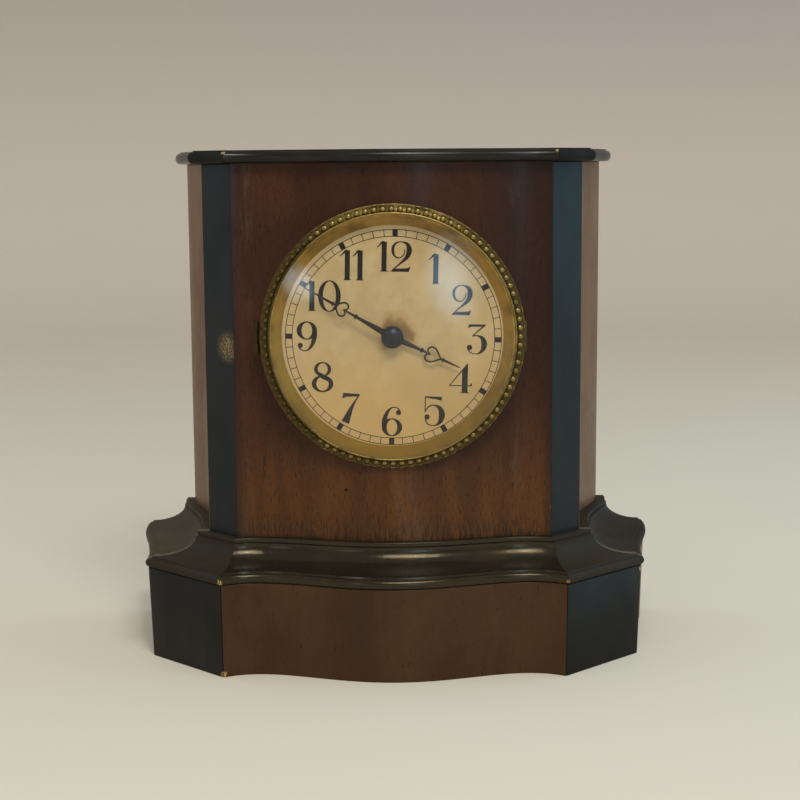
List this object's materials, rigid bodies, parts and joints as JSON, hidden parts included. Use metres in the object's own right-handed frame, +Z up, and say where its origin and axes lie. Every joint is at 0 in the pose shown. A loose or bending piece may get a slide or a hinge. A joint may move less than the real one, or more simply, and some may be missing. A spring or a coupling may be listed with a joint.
{
  "type": "table clock",
  "caption": "Serpentine-front table clock in a veneered wooden case with ebonised mouldings, beaded brass bezel, convex glass and a back-wound balance movement.",
  "frame": {"origin": "middle of the footprint, on the table surface", "axes": "+Z up, the dial faces -Y, +X is to the right seen from the front"},
  "size_m": [0.2772, 0.1422, 0.256],
  "materials": {
    "veneer": "polished dark reddish-brown veneer, vertical grain",
    "side_veneer": "polished brown veneer, vertical grain",
    "ebonised": "black polished wood",
    "carcass_wood": "bare softwood, oiled",
    "brass": "lacquered brass",
    "aged_brass": "dull aged brass",
    "steel": "ground steel",
    "blued_steel": "blued steel, nearly black",
    "dial_face": "matt cream paint, mottled with age",
    "glass": "clear convex glass"
  },
  "bodies": {
    "case": {"plinth_frame": "carcass_wood", "plinth_top_board": "carcass_wood", "plinth_front": "veneer", "plinth_side_left": "side_veneer", "plinth_side_right": "side_veneer", "plinth_facets": "ebonised", "cove_front": "ebonised", "cove_left": "ebonised", "cove_right": "ebonised", "cove_corners": "ebonised", "front_panel": "veneer", "side_panel_left": "side_veneer", "side_panel_right": "side_veneer", "corner_strip_left": "ebonised", "corner_strip_right": "ebonised", "corner_posts": "carcass_wood", "top_board": "ebonised", "top_moulding_front": "ebonised", "top_moulding_left": "ebonised", "top_moulding_right": "ebonised", "top_moulding_corners": "ebonised", "back_board": "carcass_wood", "door_hinges": "brass", "case_screws": "brass", "dial_pan": "brass", "dial": "dial_face", "bezel_hinge": "brass", "front_plate": "brass", "back_plate": "brass", "plate_screws": "blued_steel", "click_spring": "blued_steel", "balance_cock": "brass"},
    "bezel": {"bezel": "brass", "reflector_ring": "aged_brass", "glass": "glass"},
    "back_door": {"back_door": "side_veneer", "door_hinge_leaves": "brass", "door_knob": "brass"},
    "door_catch": {"door_catch": "brass"},
    "centre": {"centre_arbor": "steel", "centre_wheel": "brass", "setting_knob": "brass", "cannon_pinion": "steel", "minute_hand": "blued_steel", "hand_nut": "blued_steel"},
    "minute_wheel": {"minute_wheel": "brass"},
    "hour": {"hour_wheel": "brass", "hour_hand": "blued_steel"},
    "barrel": {"barrel": "brass", "mainspring": "steel"},
    "winding": {"winding_arbor": "steel", "winding_key": "brass"},
    "click": {"click": "steel"},
    "third": {"third_wheel": "brass"},
    "fourth": {"fourth_wheel": "brass"},
    "escape": {"escape_wheel": "brass"},
    "lever": {"pallet_lever": "steel"},
    "balance": {"balance_wheel": "brass", "hairspring": "blued_steel"},
    "regulator": {"regulator": "steel"}
  },
  "joints": [
    {"name": "bezel_hinge", "type": "hinge", "parent": "case", "child": "bezel", "pos_m": [-0.06585, -0.04635, 0.166], "axis": [0, 0, -1], "range_deg": [0, 115]},
    {"name": "back_door_hinge", "type": "hinge", "parent": "case", "child": "back_door", "pos_m": [0.055, 0.06768, 0.159], "axis": [0, 0, -1], "range_deg": [0, 110]},
    {"name": "door_catch_turn", "type": "hinge", "parent": "case", "child": "door_catch", "pos_m": [-0.06, 0.06663, 0.159], "axis": [0, 1, 0], "range_deg": [0, 90]},
    {"name": "centre_turn", "type": "hinge", "parent": "case", "child": "centre", "pos_m": [0, -0.019, 0.166], "axis": [0, 1, 0], "continuous": true},
    {"name": "minute_wheel_turn", "type": "hinge", "parent": "case", "child": "minute_wheel", "pos_m": [0.01128, -0.019, 0.1701], "axis": [0, 1, 0], "continuous": true},
    {"name": "hour_turn", "type": "hinge", "parent": "case", "child": "hour", "pos_m": [0, -0.019, 0.166], "axis": [0, 1, 0], "continuous": true},
    {"name": "barrel_turn", "type": "hinge", "parent": "case", "child": "barrel", "pos_m": [0, -0.019, 0.1414], "axis": [0, 1, 0], "continuous": true},
    {"name": "third_turn", "type": "hinge", "parent": "case", "child": "third", "pos_m": [0.0099, -0.019, 0.18315], "axis": [0, 1, 0], "continuous": true},
    {"name": "fourth_turn", "type": "hinge", "parent": "case", "child": "fourth", "pos_m": [-0.00684, -0.019, 0.1861], "axis": [0, 1, 0], "continuous": true},
    {"name": "escape_turn", "type": "hinge", "parent": "case", "child": "escape", "pos_m": [-0.02105, -0.019, 0.18093], "axis": [0, 1, 0], "continuous": true},
    {"name": "winding", "type": "hinge", "parent": "case", "child": "winding", "pos_m": [0, -0.019, 0.1414], "axis": [0, 1, 0], "continuous": true},
    {"name": "click_lift", "type": "hinge", "parent": "case", "child": "click", "pos_m": [0.0175, -0.005, 0.1494], "axis": [0, 1, 0], "range_deg": [0, 10]},
    {"name": "lever_rock", "type": "hinge", "parent": "case", "child": "lever", "pos_m": [-0.0317, -0.019, 0.17347], "axis": [0, 1, 0], "range_deg": [-5, 5]},
    {"name": "balance_swing", "type": "hinge", "parent": "case", "child": "balance", "pos_m": [-0.0358, -0.019, 0.1622], "axis": [0, 1, 0], "range_deg": [-120, 120], "stiffness_Nm_per_rad": 0.000015},
    {"name": "regulator_turn", "type": "hinge", "parent": "case", "child": "regulator", "pos_m": [-0.0358, 0.003, 0.1622], "axis": [0, 1, 0], "range_deg": [-20, 20]}
  ],
  "couplings": [
    {"joint": "minute_wheel_turn", "follows": "centre_turn", "ratio": -0.33333},
    {"joint": "hour_turn", "follows": "centre_turn", "ratio": 0.083333},
    {"joint": "barrel_turn", "follows": "centre_turn", "ratio": -0.13889},
    {"joint": "third_turn", "follows": "centre_turn", "ratio": -8},
    {"joint": "fourth_turn", "follows": "centre_turn", "ratio": 60},
    {"joint": "escape_turn", "follows": "centre_turn", "ratio": -480}
  ]
}
